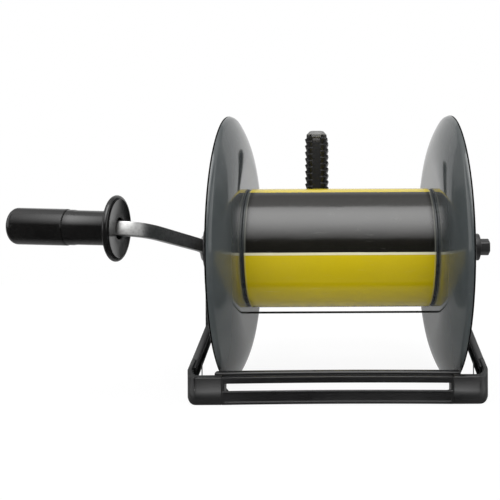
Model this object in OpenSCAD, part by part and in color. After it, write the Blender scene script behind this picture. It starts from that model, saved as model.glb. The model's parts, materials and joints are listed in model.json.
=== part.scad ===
// Hand-cranked geared reel for fence wire, empty.
// The drum turns on a fixed axle between two side frames. A crank drives it three times faster
// through a planetary gear set that sits between the left flange and the left post.
// The origin is on the floor, under the middle of the base bar. X runs along the axle, with the
// crank at -X. The base bar is at the front, at -Y, and the carrying grip at the back.

/* [Drum] */
// Radius of the two flanges
flange_r = 125; // [105:1:145]
// Radius of the winding core, over its label
core_r = 57; // [52:0.5:66]
// Half of the winding width, measured at the core
core_half = 86; // [70:1:110]
// Wall of the core tube
core_wall = 2.7; // [2:0.1:4]
// Thickness of the label sleeve round the core
label_t = 0.5; // [0.3:0.1:1]
// Bare strip of core at each end of the label
label_margin = 2; // [1:0.5:6]
// Radius at which a flange begins to curve outwards
flat_r = 80; // [76:1:88]
// Slope of a flange at its lip, in degrees
dish_turn = 30.7; // [20:0.1:36]
// Wall of a flange
flange_t = 3.2; // [2.4:0.2:4]
// Width of the turned-out lip on the rim of a flange
lip_w = 6; // [5:0.5:9]
// Number of ribs on the outer side of a flange
rib_count = 8; // [6:1:12]
// Radius of a drum tie rod
tie_r = 2.5; // [2:0.1:3]
// Radius of the hole in the left flange for the end of the wire
anchor_r = 3; // [2:0.5:4]
// Radius of the rod below the core that the wire is tied to
tie_bar_r = 1; // [0.8:0.1:1.5]
// Distance of the middle of that rod from the core
tie_bar_gap = 5.5; // [4:0.5:10]

/* [Axle] */
// Radius of the fixed axle
axle_r = 5; // [4:0.5:6]
// Wall of the drum bushes
bush_wall = 3; // [2:0.5:3.5]
// Radial running clearance of every bearing
run_gap = 0.05; // [0.02:0.01:0.1]
// Axial gap between faces that run past each other
end_gap = 0.3; // [0.2:0.1:0.6]
// Radius of the six-sided cap on the right end of the axle, over its corners
cap_r = 8.25; // [7:0.25:9]
// Length of the six-sided cap
cap_l = 10; // [8:0.5:14]

/* [Gears] */
// Module of the teeth
gear_m = 1.5; // [1.2:0.05:1.6]
// Number of teeth on the sun gear, which turns with the drum
sun_z = 24; // [24:12:24]
// Number of teeth on each planet gear
planet_z = 12; // [12:12:12]
// Face width of the gears
gear_w = 10; // [7:0.5:12]
// Total play between meshing teeth
backlash = 0.2; // [0.12:0.02:0.3]
// Wall outside the teeth of the ring gear
ring_wall = 3.6; // [3:0.2:4.4]
// Radius of a planet pin
pin_r = 2.5; // [2:0.25:3]
// Thickness of the planet carrier plate
carrier_t = 3.5; // [2.5:0.5:4]
// Wall of the gear housing
housing_wall = 3.4; // [2.4:0.2:4]
// Radius of the crank shaft
shaft_r = 8; // [7.5:0.25:9]

/* [Crank] */
// Distance from the axle to the middle of the crank grip
crank_r = 95; // [80:1:110]
// Width of the crank bar
bar_w = 12; // [8:0.5:14]
// Thickness of the crank bar
bar_t = 5; // [4:0.5:6]
// Height of the crank above the horizontal at rest, in degrees
crank_rest = 11.3; // [0:0.1:20]
// Tilt of the crank grip against the axle, in degrees
grip_tilt = 1.7; // [0:0.1:2]
// Outward offset from the crank hub to the guard of the grip
crank_reach = 50.3; // [46:0.1:56]
// Radius of the guard disc on the crank grip
guard_r = 27; // [22:0.5:32]
// Radius of the inner half of the crank grip
grip_r = 14; // [12.5:0.25:16]
// Extra radius of the outer half of the crank grip
grip_step = 0.9; // [0.2:0.1:1.5]
// Length of the inner half of the crank grip, from the guard
grip_inner_l = 37; // [32:1:50]
// Length of the outer half of the crank grip
grip_outer_l = 45; // [36:1:56]
// Radius of the spindle inside the crank grip
spindle_r = 4.5; // [3.5:0.25:5]

/* [Frame] */
// Clearance between the floor and the flanges
floor_gap = 1.5; // [1:0.5:6]
// Height of the base bar
base_h = 22.5; // [20:0.5:28]
// Depth of the lower rail of the base bar
base_depth = 22; // [18:0.5:28]
// Height of the lower rail
lower_rail_h = 11; // [8:0.5:12]
// Thickness of the front wall of the lower rail
rail_wall = 3; // [2:0.5:6]
// Height of the upper rail
upper_rail_h = 5.3; // [4:0.1:7]
// Depth of the upper rail
upper_rail_depth = 11.85; // [10:0.05:18]
// Clearance between the base bar and the flanges
rail_gap = 1.6; // [1:0.1:5]
// Length of the corner blocks that hold the ends of the base bar
block_l = 30; // [26:1:36]
// Rounding of the corner blocks in plan
corner_r = 10; // [6:0.5:12]
// Wall of the side frames
side_wall = 3; // [2.5:0.25:4]
// Depth of the rims on the inner side of the side frames
rim_depth = 6.5; // [4:0.5:8]
// Width of a side arm, square to its length
arm_h = 12.5; // [11:0.5:16]
// Width of the posts that carry the axle
post_w = 26; // [26:0.5:30]
// Height of the axle above the top edge of the arms
arm_drop = 68; // [60:1:74]
// Room between the left flange rim and the outside of the left side frame
left_room = 24.2; // [22:0.1:30]
// Room between the right flange rim and the outside of the right side frame
right_room = 19.3; // [16:0.1:26]
// Length of the hub on the outside of the right post
hub_l = 11; // [8:0.5:14]
// Radius of the hubs on the posts
hub_r = 13; // [12.5:0.5:15]
// Distance of the rear bar behind the flanges
rear_gap = 13; // [11:0.5:24]
// Thickness of the rear bar
rear_t = 20; // [18:0.5:26]
// Radius of the tenons on the rear bar
tenon_r = 6; // [5:0.5:7]

/* [Carrying grip] */
// Place of the carrying grip along the rear bar
grip_x = -27.3; // [-40:0.1:40]
// Width of the carrying grip between its ridges
hand_w = 24.2; // [22:0.1:32]
// Depth of the carrying grip
hand_d = 32; // [28:0.5:38]
// Height of the top of the carrying grip above the axle
hand_top = 135; // [126:0.5:150]
// Height of one ridge
ridge_h = 1.5; // [0.8:0.1:2]
// Number of ridges on each side
ridge_count = 17; // [12:1:20]
// Height of the cap on the grip
hand_cap_h = 8; // [6:0.5:10]
// Width of the post inside the carrying grip
stem_w = 14; // [10:0.5:18]

/* [Hooks] */
// Radius of the steel hook rods
hook_r = 3.5; // [3:0.25:4]
// Radius of the bend at the foot of a hook, to the middle of the rod
hook_bend_r = 12; // [10:0.5:14]
// Length of the straight end of a hook
hook_tip_l = 19; // [12:1:30]
// Distance of the middle of a hook from the outside of its side frame
hook_inset = 9; // [8:0.5:12]

/* [Screws] */
// Radius of the frame screws
screw_r = 2; // [1.5:0.25:2.5]

/* [Hidden] */
$fn = 96;

// Heights and depths, from the middle of the axle
axle_z = flange_r + floor_gap;
rail_top = -axle_z + base_h;
rib_h = 3.3;
rib_d = 6.8;
rib_lap = 7;
rail_back = -sqrt(pow(flange_r + rail_gap, 2) - pow(rail_top + rib_h, 2));
base_front = rail_back - upper_rail_depth;
base_back = base_front + base_depth;
axle_y = -(base_front + base_back) / 2;

// Places along the axle, outwards from the middle of the drum
web_out = core_half + flange_t;
lip_bend = flange_t * 2;
lip_end = flange_t / 2;
dish_r = (flange_r - lip_bend * (1 - sin(dish_turn)) - flat_r) / sin(dish_turn);
rim_in = core_half + dish_r * (1 - cos(dish_turn));
rim_out = rim_in + lip_w;
left_out = rim_out + left_room;
right_out = rim_out + right_room;
label_half = core_half - label_margin;
bush_r = axle_r + run_gap + bush_wall;
hub_wall = 5;
drum_hub_r = bush_r + hub_wall;
hub_pad = 1;
washer_t = 2;
right_hub_end = right_out - side_wall - hub_pad - washer_t - 2 * end_gap;
right_cap_in = right_out + hub_l;
rib_t = 3;
rib_rise = 3;
rib_drop = 2;
rib_root = 0.6;
spigot_l = 6;
spigot_wall = 2;
tube_r = core_r - label_t;
tube_in = tube_r - core_wall;
tie_gap = 1.3;
tie_circle_r = tube_in - spigot_wall - tie_r - tie_gap;
nut_r = tie_r + 1.7;
nut_t = 3;
anchor_gap = 12;
anchor_place_r = core_r + anchor_gap;
tie_bar_seat = 2;
tie_bar_end = core_half + tie_bar_seat;
tie_bar_place_r = core_r + tie_bar_gap;

// Gear set
pressure_angle = 25;
ring_z = sun_z + 2 * planet_z;
sun_pitch = gear_m * sun_z / 2;
planet_pitch = gear_m * planet_z / 2;
ring_pitch = gear_m * ring_z / 2;
planet_arm = sun_pitch + planet_pitch;
planet_angles = [90, 210, 330];
short_addendum = 0.85;
dedendum = 1.25;
ring_out_r = ring_pitch + dedendum * gear_m + ring_wall;
gear_in = web_out + nut_t + 2 * end_gap;
gear_out = gear_in + gear_w;
sun_out = gear_out + end_gap / 3;
carrier_in = gear_out + 2 * end_gap;
carrier_out = carrier_in + carrier_t;
carrier_edge = 4;
carrier_r = planet_arm + pin_r + carrier_edge;
pin_head_r = pin_r + 1.5;
pin_head_t = 0.6;
housing_in_r = ring_out_r;
housing_out_r = ring_out_r + housing_wall;
housing_rim = gear_in;
floor_in = carrier_out + end_gap;
floor_out = floor_in + housing_wall;
post_in = left_out - side_wall;
shaft_bush_r = shaft_r + run_gap + bush_wall;
neck_wall = 3;
neck_r = shaft_bush_r + neck_wall;
foot_w = 11;
foot_r = neck_r + foot_w;
foot_t = 3;
foot_screw_circle = neck_r + foot_w / 2;
axle_seat = 14;
axle_left = carrier_in + axle_seat;
sun_screw = 1.5;
sun_screw_r = (bush_r + sun_pitch - dedendum * gear_m) / 2;

// Crank, outwards and along the crank
eye_in = left_out + end_gap;
eye_mid = eye_in + bar_t / 2;
eye_out = eye_in + bar_t;
eye_r = 12;
square_w = shaft_r * 1.375;
square_root = 1;
lean_start = 14;
lean = 0.39;
bend_start = 72;
guard_mid = eye_mid + crank_reach;
guard_t = 4.6;
guard_in = guard_mid - guard_t / 2;
bar_end = guard_mid + 4.5;
bend_end = bar_end - 2;
pocket_r = max(bar_w, bar_t) / 2 + 3;
pocket_end = bar_end + 2 * end_gap;
grip_joint = guard_in + guard_t + grip_inner_l;
grip_end = grip_joint + grip_outer_l;
spigot_r = grip_r - 2.75;
end_wall = 12;
spindle_end = grip_end - end_wall;
grip_spigot_end = spindle_end - end_gap;
retainer_r = spindle_r + 4;
retainer_t = 2.5;
retainer_shank_l = 12;
cap_wall = end_wall / 2;
grip_round = 5;

// Side frames
front_rise = 1.2;
arm_tilt = atan((-rail_top - front_rise - arm_drop) / -base_front);
corner_lip = 2;
arm_start = base_front + corner_r + corner_lip;
rear_y = flange_r + rear_gap;
rear_z = -arm_drop + tan(arm_tilt) * rear_y - arm_h / 2 / cos(arm_tilt);
rear_block_l = 24;
rear_block_t = rear_t + 4;
rim_t = 2.5;
head_gap = 3;
post_lap = 8;
base_round = 8;
corner_wall = 4;
wall_bend = base_front + 0.85 * corner_r;
wall_step = 0.4;
sole_t = lower_rail_h - 5.5;
tenon_l = 12;
rear_tenon_l = rear_block_l - hook_inset - hook_r - 0.5;
rail_tenon_w = 12;
rail_tenon_h = 6;
rail_tenon_y = (base_front + base_back) / 2;
rail_tenon_z = -axle_z + 2.5;
screw_head_r = screw_r + 1.5;
screw_head_t = 2;
rear_screw_l = rear_block_l - screw_head_t - 2;

// Carrying grip
hand_bottom = rear_z + rear_t / 2;
stem_d = stem_w + 2;
stem_top = hand_top - hand_cap_h;
ridge_pitch = (stem_top - hand_bottom - 8) / ridge_count;
hand_corner_r = 7.5;
tab_w = 11;
tab_h = 2.5;
cap_slope = 4;

// Hooks
hook_socket = 9;
hook_z = -axle_z + hook_r + hook_bend_r;

// Colours of the mouldings and the metal
black_plastic = "#1c1c1e";
grey_plastic = "#4d5356";
zinc = "#b9bcc0";
steel = "#8f9499";
nylon = "#d8d3c4";
label_yellow = "#c9b02a";

// Involute function of an angle, in degrees
function involute(a) = tan(a) * 180 / PI - a;

// Half of the angle that a tooth spans at radius r
function half_tooth(z, pitch, r, play) =
    90 / z - play / pitch * 45 / PI + involute(pressure_angle)
    - involute(acos(min(1, pitch * cos(pressure_angle) / r)));

// Outline of an outside gear, tooth 0 centred on the angle turn
function gear_outline(z, pitch, tip, root, play, turn) =
    let (
        base = max(root, pitch * cos(pressure_angle)),
        radii = concat([root], [for (i = [0 : 4]) base + (tip - base) * i / 4])
    )
    [for (i = [0 : z - 1])
        for (side = [-1, 1])
            for (k = [0 : 5])
                let (
                    r = side < 0 ? radii[k] : radii[5 - k],
                    a = turn + 360 / z * i + side * half_tooth(z, pitch, max(r, base), play)
                )
                [r * cos(a), r * sin(a)]];

// Points of a quadratic curve from a by b to c
function curve(a, b, c, steps) =
    [for (i = [0 : steps]) let (t = i / steps) a * pow(1 - t, 2) + b * 2 * t * (1 - t) + c * t * t];

// Unit normal of a path at point i
function path_normal(p, i) =
    let (d = p[min(i + 1, len(p) - 1)] - p[max(i - 1, 0)])
    [-d[1], d[0]] / norm(d);

// Closed outline of a band of the given thickness along a path
function band(p, t) = concat(
    [for (i = [0 : len(p) - 1]) p[i] + path_normal(p, i) * t / 2],
    [for (i = [len(p) - 1 : -1 : 0]) p[i] - path_normal(p, i) * t / 2]);

// Points of an arc round a centre
function arc(centre, r, from, to, steps) =
    [for (i = [0 : steps]) let (a = from + (to - from) * i / steps) centre + r * [cos(a), sin(a)]];

// Middle line of the crank bar, as outward place and distance from the axle
lean_corner = eye_mid + lean * (crank_r - lean_start);
crank_path = concat(
    curve([eye_mid, lean_start - 8], [eye_mid, lean_start], [eye_mid + lean * 8, lean_start + 8], 6),
    curve(
        [eye_mid + lean * (bend_start - lean_start), bend_start],
        [lean_corner, crank_r],
        [bend_end, crank_r], 16),
    [[bar_end, crank_r]]);

// Frame of the axle: x along the axle, y to the back, z up
module at_axle() { translate([0, axle_y, axle_z]) children(); }

// The same frame with x pointing outwards on the left
module left_of_axle() { at_axle() mirror([1, 0, 0]) children(); }

// Frame of the crank at rest: x outwards on the left, y along the crank
module at_crank() { at_axle() rotate([180 - crank_rest, 0, 0]) mirror([1, 0, 0]) children(); }

module at_grip() {
    at_crank() translate([guard_mid, crank_r, 0]) rotate([0, grip_tilt, 0]) translate([-guard_mid, 0, 0])
        children();
}

// Solid turned about the x axis, from points of radius and place
module turned(points) { rotate([0, 90, 0]) rotate_extrude() polygon(points); }

// Plain ring or rod about the x axis
module ring_x(r_in, r_out, from, to) {
    turned([[r_in, from], [r_out, from], [r_out, to], [r_in, to]]);
}

// Rod along x at a place
module rod_x(r, from, to) { translate([from, 0, 0]) rotate([0, 90, 0]) cylinder(r = r, h = to - from); }

// Copies round the x axis
module round_x(count, turn = 0) {
    for (i = [0 : count - 1]) rotate([turn + 360 / count * i, 0, 0]) children();
}

// Round-headed screw along +x, with the underside of its head at 0
module screw_x(l) {
    rod_x(screw_r, 0, l);
    rod_x(screw_head_r, -screw_head_t, 0);
}

// Rectangle in the side view, grown along x from the inside to the outside of a side frame
module side_slab(outside, depth, y0, z0, y1, z1) {
    translate([outside - depth, y0, z0]) cube([depth, y1 - y0, z1 - z0]);
}

// Side view, grown along x from the outside of a side frame to the inside
module from_side(outside, depth) {
    translate([outside, 0, 0]) rotate([90, 0, -90]) mirror([1, 0, 0]) linear_extrude(depth) children();
}

// Height of the top edge of an arm
function arm_top(y) = -arm_drop + tan(arm_tilt) * y;

// Plan of a corner block with a round corner, drawn in by the thickness of a wall
module corner_plan(outside, wall) {
    union() {
        translate([outside - block_l - wall, base_front + wall])
            square([block_l - corner_r + wall, base_depth]);
        translate([outside - corner_r, base_front + corner_r])
            square([corner_r - wall, base_depth - corner_r + wall]);
        translate([outside - corner_r, base_front + corner_r]) circle(corner_r - wall);
    }
}

// Corner block: solid below, a wall above that rises into the arm, round at its lower outer corner
module corner_block(outside) {
    intersection() {
        translate([0, 0, -axle_z]) linear_extrude(axle_z) corner_plan(outside, 0);
        translate([0, base_back, 0]) rotate([90, 0, 0]) linear_extrude(base_depth)
            union() {
                translate([outside - block_l, -axle_z]) square([block_l - base_round, axle_z]);
                translate([outside - base_round, -axle_z + base_round])
                    square([base_round, axle_z - base_round]);
                translate([outside - base_round, -axle_z + base_round]) circle(base_round);
            }
        difference() {
            from_side(outside, block_l) polygon([
                [base_front, -axle_z],
                [base_front, rail_top],
                [base_front + corner_lip, rail_top],
                [wall_bend, arm_top(wall_bend) + wall_step],
                [base_back, arm_top(base_back) + wall_step],
                [base_back, -axle_z]
            ]);
            translate([0, 0, -axle_z + lower_rail_h]) linear_extrude(axle_z)
                corner_plan(outside, corner_wall);
        }
    }
}

// Outline of an arm and its post in the side view
module arm_shape(inset) {
    translate([0, -arm_drop]) rotate(arm_tilt)
        translate([arm_start / cos(arm_tilt), -arm_h + inset])
            square([(rear_y - arm_start) / cos(arm_tilt), arm_h - 2 * inset]);
}

module post_shape(inset) {
    translate([-post_w / 2 + inset, -arm_drop - post_lap])
        square([post_w - 2 * inset, arm_drop + post_lap]);
}

// Side frame for the right; the left one is its mirror image, further out.
// The rims stay clear of the round head of its post
module side_frame(outside, head_r) {
    difference() {
        union() {
            corner_block(outside);
            from_side(outside, side_wall)
                union() {
                    arm_shape(0);
                    post_shape(0);
                    circle(head_r);
                }
            from_side(outside, rim_depth)
                difference() {
                    union() {
                        arm_shape(0);
                        post_shape(0);
                    }
                    arm_shape(rim_t);
                    post_shape(rim_t);
                    circle(head_r + head_gap);
                }
            side_slab(outside, rear_block_l, rear_y - rear_block_t / 2, rear_z - rear_block_t / 2,
                rear_y + rear_block_t / 2, rear_z + rear_block_t / 2);
        }
        translate([outside - block_l, rail_tenon_y - rail_tenon_w / 2, rail_tenon_z])
            cube([tenon_l, rail_tenon_w, rail_tenon_h]);
        translate([outside - block_l + tenon_l / 2, rail_tenon_y, -axle_z + screw_head_t]) rail_screw();
        translate([0, rear_y, rear_z]) {
            rod_x(tenon_r, outside - rear_block_l, outside - rear_block_l + rear_tenon_l);
            translate([outside - screw_head_t, 0, 0]) mirror([1, 0, 0]) rear_screw();
        }
        translate([outside - hook_inset, rear_y, rear_z - rear_block_t / 2])
            cylinder(r = hook_r, h = hook_socket);
    }
}

// Screws of the frame
module rear_screw() { screw_x(rear_screw_l); }
module rail_screw() { rotate([0, -90, 0]) screw_x(rail_tenon_h); }

// Flange with its hub on the outside: flat near the core, then dished outwards to a rolled lip
module flange(hub_end) {
    dish = [flat_r, core_half + dish_r];
    bend = [flange_r - lip_bend, rim_in + lip_bend * cos(dish_turn)];
    rim_turn = -90 + dish_turn;
    difference() {
        union() {
            turned(concat(
                [
                    [bush_r, core_half],
                    [tube_in - spigot_wall, core_half],
                    [tube_in - spigot_wall, core_half - spigot_l],
                    [tube_in, core_half - spigot_l],
                    [tube_in, core_half],
                    [core_r, core_half]
                ],
                arc(dish, dish_r, -90, rim_turn, 10),
                arc(bend, lip_bend, rim_turn + 6, 0, 8),
                arc([flange_r - lip_end, rim_out - lip_end], lip_end, 0, 180, 8),
                arc(bend, lip_bend - flange_t, -10, rim_turn, 4),
                arc(dish, dish_r - flange_t, rim_turn - 2, -90, 8),
                [
                    [drum_hub_r, web_out],
                    [drum_hub_r, hub_end],
                    [bush_r, hub_end]
                ]));
            round_x(rib_count, 360 / rib_count / 2)
                translate([0, -rib_t / 2, 0]) rotate([90, 0, 0]) mirror([0, 0, 1]) linear_extrude(rib_t)
                    polygon(concat(
                        [[web_out + rib_rise, core_r], [rim_out - rib_drop, flange_r - flange_t + rib_root]],
                        [for (p = arc(dish, dish_r - flange_t / 2, rim_turn, -90, 8)) [p[1], p[0]]],
                        [[web_out - flange_t / 2, core_r]]));
        }
        round_x(4, 45) translate([0, tie_circle_r, 0]) rod_x(tie_r, core_half - 1, web_out + 1);
        translate([0, 0, -tie_bar_place_r]) rod_x(tie_bar_r, core_half - 1, tie_bar_end);
    }
}

// Frame pieces

module left_side_frame() {
    color(black_plastic) left_of_axle() difference() {
        side_frame(left_out, foot_r);
        rod_x(shaft_bush_r, post_in - rim_depth, left_out + 1);
        round_x(4, 45) translate([0, foot_screw_circle, 0]) translate([post_in - foot_t, 0, 0]) foot_screw();
    }
}

module right_side_frame() {
    color(black_plastic) at_axle() difference() {
        union() {
            side_frame(right_out, hub_r);
            rod_x(hub_r, right_out - side_wall - hub_pad, right_cap_in);
        }
        rod_x(axle_r, right_out - side_wall - hub_pad - 1, right_cap_in + 1);
    }
}

module base_bar() {
    left_end = -left_out + block_l;
    right_end = right_out - block_l;
    web = 2;
    color(black_plastic) at_axle() difference() {
        union() {
            translate([left_end, base_front, -axle_z]) {
                cube([right_end - left_end, base_depth, sole_t]);
                cube([right_end - left_end, rail_wall, lower_rail_h]);
            }
            translate([left_end, base_front, rail_top - upper_rail_h])
                cube([right_end - left_end, upper_rail_depth, upper_rail_h]);
            for (x = [left_end, right_end - web])
                translate([x, base_front, -axle_z]) cube([web, upper_rail_depth, base_h]);
            translate([left_end - rib_lap, rail_back - rib_d, rail_top])
                cube([right_end - left_end + 2 * rib_lap, rib_d, rib_h]);
            for (x = [left_end - tenon_l, right_end - web])
                translate([x, rail_tenon_y - rail_tenon_w / 2, rail_tenon_z])
                    cube([tenon_l + web, rail_tenon_w, rail_tenon_h]);
        }
        for (x = [left_end - tenon_l / 2, right_end + tenon_l / 2])
            translate([x, rail_tenon_y, -axle_z + screw_head_t]) rail_screw();
    }
}

module rear_bar() {
    left_end = -left_out + rear_block_l;
    right_end = right_out - rear_block_l;
    color(black_plastic) at_axle() translate([0, rear_y, rear_z]) difference() {
        union() {
            translate([left_end, -rear_t / 2, -rear_t / 2]) cube([right_end - left_end, rear_t, rear_t]);
            rod_x(tenon_r, left_end - rear_tenon_l, right_end + rear_tenon_l);
            translate([grip_x - stem_w / 2, -stem_d / 2, 0]) cube([stem_w, stem_d, stem_top - rear_z]);
        }
        translate([-left_out + screw_head_t, 0, 0]) rear_screw();
        translate([right_out - screw_head_t, 0, 0]) mirror([1, 0, 0]) rear_screw();
    }
}

// Plan of the carrying grip: a rectangle with round corners, from the floor of the grip up
module hand_plan(from, to) {
    w = hand_w / 2 + ridge_h - hand_corner_r;
    d = hand_d / 2 - hand_corner_r;
    translate([grip_x, rear_y, from]) linear_extrude(to - from)
        union() {
            square([2 * w, hand_d], center = true);
            square([2 * (w + hand_corner_r), 2 * d], center = true);
            for (x = [-w, w], y = [-d, d]) translate([x, y]) circle(hand_corner_r);
        }
}

// Ridged outline of the carrying grip, seen from the front; the two sides are staggered
function ridge_side(side, shift) =
    [for (i = [0 : ridge_count - 1])
        for (k = [0 : 2])
            [side * (hand_w / 2 + (k == 1 ? ridge_h : 0)),
                hand_bottom + 4 + (i + shift + k * 0.45) * ridge_pitch]];

function reversed(p) = [for (i = [len(p) - 1 : -1 : 0]) p[i]];

module hand_grip() {
    color(black_plastic) at_axle() difference() {
        intersection() {
            translate([grip_x, rear_y + hand_d / 2, 0]) rotate([90, 0, 0]) linear_extrude(hand_d)
                polygon(concat(
                    [[-hand_w / 2, hand_bottom], [hand_w / 2, hand_bottom]],
                    ridge_side(1, 0),
                    [[hand_w / 2, stem_top], [-hand_w / 2, stem_top]],
                    reversed(ridge_side(-1, 0.5))));
            hand_plan(hand_bottom, stem_top);
        }
        translate([grip_x - stem_w / 2, rear_y - stem_d / 2, hand_bottom - 1])
            cube([stem_w, stem_d, stem_top - hand_bottom + 2]);
    }
}

module hand_grip_cap() {
    color(grey_plastic) at_axle() difference() {
        intersection() {
            translate([grip_x, rear_y + hand_d / 2, 0]) rotate([90, 0, 0]) linear_extrude(hand_d)
                polygon([
                    [-hand_w / 2, stem_top],
                    [hand_w / 2, stem_top],
                    [hand_w / 2, hand_top - cap_slope],
                    [hand_w / 2 - cap_slope, hand_top],
                    [-hand_w / 2 + cap_slope, hand_top],
                    [-hand_w / 2, hand_top - cap_slope]
                ]);
            hand_plan(stem_top, hand_top);
        }
        translate([grip_x - tab_w / 2, rear_y - hand_d / 2 - 1, stem_top + 1]) cube([tab_w, 2, tab_h]);
    }
}

// Hook: a rod from the rear block down to the floor, turned up to the front
module hook(x) {
    translate([x, rear_y, hook_z])
        cylinder(r = hook_r, h = rear_z - rear_block_t / 2 + hook_socket - hook_z);
    translate([x, rear_y - hook_bend_r, hook_z]) rotate([0, 90, 0]) rotate([0, 0, -90])
        rotate_extrude(angle = 180) translate([hook_bend_r, 0]) circle(hook_r);
    translate([x, rear_y - 2 * hook_bend_r, hook_z]) cylinder(r = hook_r, h = hook_tip_l);
}

module left_hook() { color(zinc) at_axle() hook(-left_out + hook_inset); }

module right_hook() { color(zinc) at_axle() hook(right_out - hook_inset); }

module frame_screws() {
    color(steel) at_axle() {
        for (x = [-left_out + block_l - tenon_l / 2, right_out - block_l + tenon_l / 2])
            translate([x, rail_tenon_y, -axle_z + screw_head_t]) rail_screw();
        translate([0, rear_y, rear_z]) {
            translate([-left_out + screw_head_t, 0, 0]) rear_screw();
            translate([right_out - screw_head_t, 0, 0]) mirror([1, 0, 0]) rear_screw();
        }
    }
}

module axle() { color(steel) at_axle() rod_x(axle_r, -axle_left, right_cap_in + cap_l / 2); }

module axle_cap() {
    color(black_plastic) at_axle() difference() {
        translate([right_cap_in, 0, 0]) rotate([0, 90, 0])
            cylinder(r = cap_r, h = cap_l, $fn = 6);
        rod_x(axle_r, right_cap_in - 1, right_cap_in + cap_l / 2);
    }
}

module axle_washer() {
    from = right_hub_end + end_gap;
    color(steel) at_axle() ring_x(axle_r, hub_r - 1, from, from + washer_t);
}

module foot_screw() { screw_x(foot_t + side_wall - 0.5); }

// Gearbox pieces

module gear_housing() {
    color(grey_plastic) left_of_axle() difference() {
        turned([
            [housing_in_r, housing_rim],
            [housing_out_r, housing_rim],
            [housing_out_r, floor_out],
            [neck_r, floor_out],
            [neck_r, post_in - foot_t],
            [foot_r, post_in - foot_t],
            [foot_r, post_in],
            [shaft_bush_r, post_in],
            [shaft_bush_r, floor_in],
            [housing_in_r, floor_in]
        ]);
        round_x(4, 45) translate([post_in - foot_t, foot_screw_circle, 0]) foot_screw();
    }
}

module housing_screws() {
    color(steel) left_of_axle()
        round_x(4, 45) translate([post_in - foot_t, foot_screw_circle, 0]) foot_screw();
}

module shaft_bush() {
    color(nylon) left_of_axle() ring_x(shaft_r + run_gap, shaft_bush_r, floor_in, left_out);
}

// Gear with its axis along x, over its face width
module toothed(outline) { rotate([0, 90, 0]) linear_extrude(gear_w) polygon(outline); }

module ring_gear() {
    color(nylon) left_of_axle() translate([gear_in, 0, 0]) difference() {
        ring_x(ring_pitch - gear_m * 2, ring_out_r, 0, gear_w);
        translate([-1, 0, 0]) rotate([0, 90, 0]) linear_extrude(gear_w + 2)
            polygon(gear_outline(ring_z, ring_pitch, ring_pitch + dedendum * gear_m,
                ring_pitch - short_addendum * gear_m, 0, 180 / ring_z));
    }
}

// Drum pieces

module drum_core() { color(grey_plastic) at_axle() ring_x(tube_in, tube_r, -core_half, core_half); }

module label_sleeve() { color(label_yellow) at_axle() ring_x(tube_r, core_r, -label_half, label_half); }

module left_flange() {
    color(grey_plastic) left_of_axle() difference() {
        flange(web_out);
        round_x(3) translate([0, sun_screw_r, 0]) rod_x(sun_screw, core_half, web_out + 1);
        translate([0, anchor_place_r, 0]) rod_x(anchor_r, core_half - 1, rim_out);
    }
}

module right_flange() { color(grey_plastic) at_axle() flange(right_hub_end); }

module tie_bar() {
    color(steel) at_axle() translate([0, 0, -tie_bar_place_r])
        rod_x(tie_bar_r, -tie_bar_end, tie_bar_end);
}

module drum_tie_rods() {
    color(zinc) at_axle() round_x(4, 45) translate([0, tie_circle_r, 0]) {
        rod_x(tie_r, -web_out, web_out);
        translate([web_out, 0, 0]) rotate([0, 90, 0]) cylinder(r = nut_r, h = nut_t, $fn = 6);
    }
}

module tie_rod_nuts() {
    color(zinc) left_of_axle() round_x(4, 45) translate([web_out, tie_circle_r, 0])
        rotate([0, 90, 0]) cylinder(r = nut_r, h = nut_t, $fn = 6);
}

module left_bush() { color(nylon) left_of_axle() ring_x(axle_r + run_gap, bush_r, core_half, sun_out); }

module right_bush() { color(nylon) at_axle() ring_x(axle_r + run_gap, bush_r, core_half, right_hub_end); }

module sun_gear() {
    color(nylon) left_of_axle() difference() {
        translate([web_out, 0, 0]) rotate([0, 90, 0]) linear_extrude(sun_out - web_out)
            polygon(gear_outline(sun_z, sun_pitch, sun_pitch + gear_m,
                sun_pitch - dedendum * gear_m, 0, 0));
        rod_x(bush_r, web_out - 1, sun_out + 1);
        round_x(3) translate([0, sun_screw_r, 0]) rod_x(sun_screw, web_out - 1, sun_out + 1);
    }
}

module sun_screws() {
    color(steel) left_of_axle()
        round_x(3) translate([0, sun_screw_r, 0]) rod_x(sun_screw, core_half, sun_out);
}

// Crank pieces

module planet_carrier() {
    color(steel) {
        left_of_axle() difference() {
            turned([
                [axle_r + run_gap, carrier_in],
                [carrier_r, carrier_in],
                [carrier_r, carrier_out],
                [shaft_r, carrier_out],
                [shaft_r, eye_in],
                [0, eye_in],
                [0, axle_left + end_gap],
                [axle_r + run_gap, axle_left + end_gap]
            ]);
            planet_places() rod_x(pin_r, carrier_in - 1, carrier_out + 1);
        }
        at_crank() translate([eye_in - square_root, -square_w / 2, -square_w / 2])
            cube([bar_t + square_root, square_w, square_w]);
    }
}

// Places of the planets on the carrier
module planet_place(a) { translate([0, planet_arm * sin(a), -planet_arm * cos(a)]) children(); }

module planet_places() { for (a = planet_angles) planet_place(a) children(); }

module planet_pins() {
    color(steel) left_of_axle() planet_places() {
        rod_x(pin_r, gear_in - end_gap, carrier_out);
        rod_x(pin_head_r, gear_in - end_gap - pin_head_t, gear_in - end_gap);
    }
}

module planet_gear(a) {
    color(nylon) left_of_axle() planet_place(a) difference() {
        translate([gear_in, 0, 0]) toothed(gear_outline(planet_z, planet_pitch, planet_pitch + gear_m,
            planet_pitch - dedendum * gear_m, backlash, a + 180 / planet_z));
        rod_x(pin_r + run_gap, gear_in - 1, gear_out + 1);
    }
}

module planet_gear_1() { planet_gear(planet_angles[0]); }

module planet_gear_2() { planet_gear(planet_angles[1]); }

module planet_gear_3() { planet_gear(planet_angles[2]); }

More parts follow.
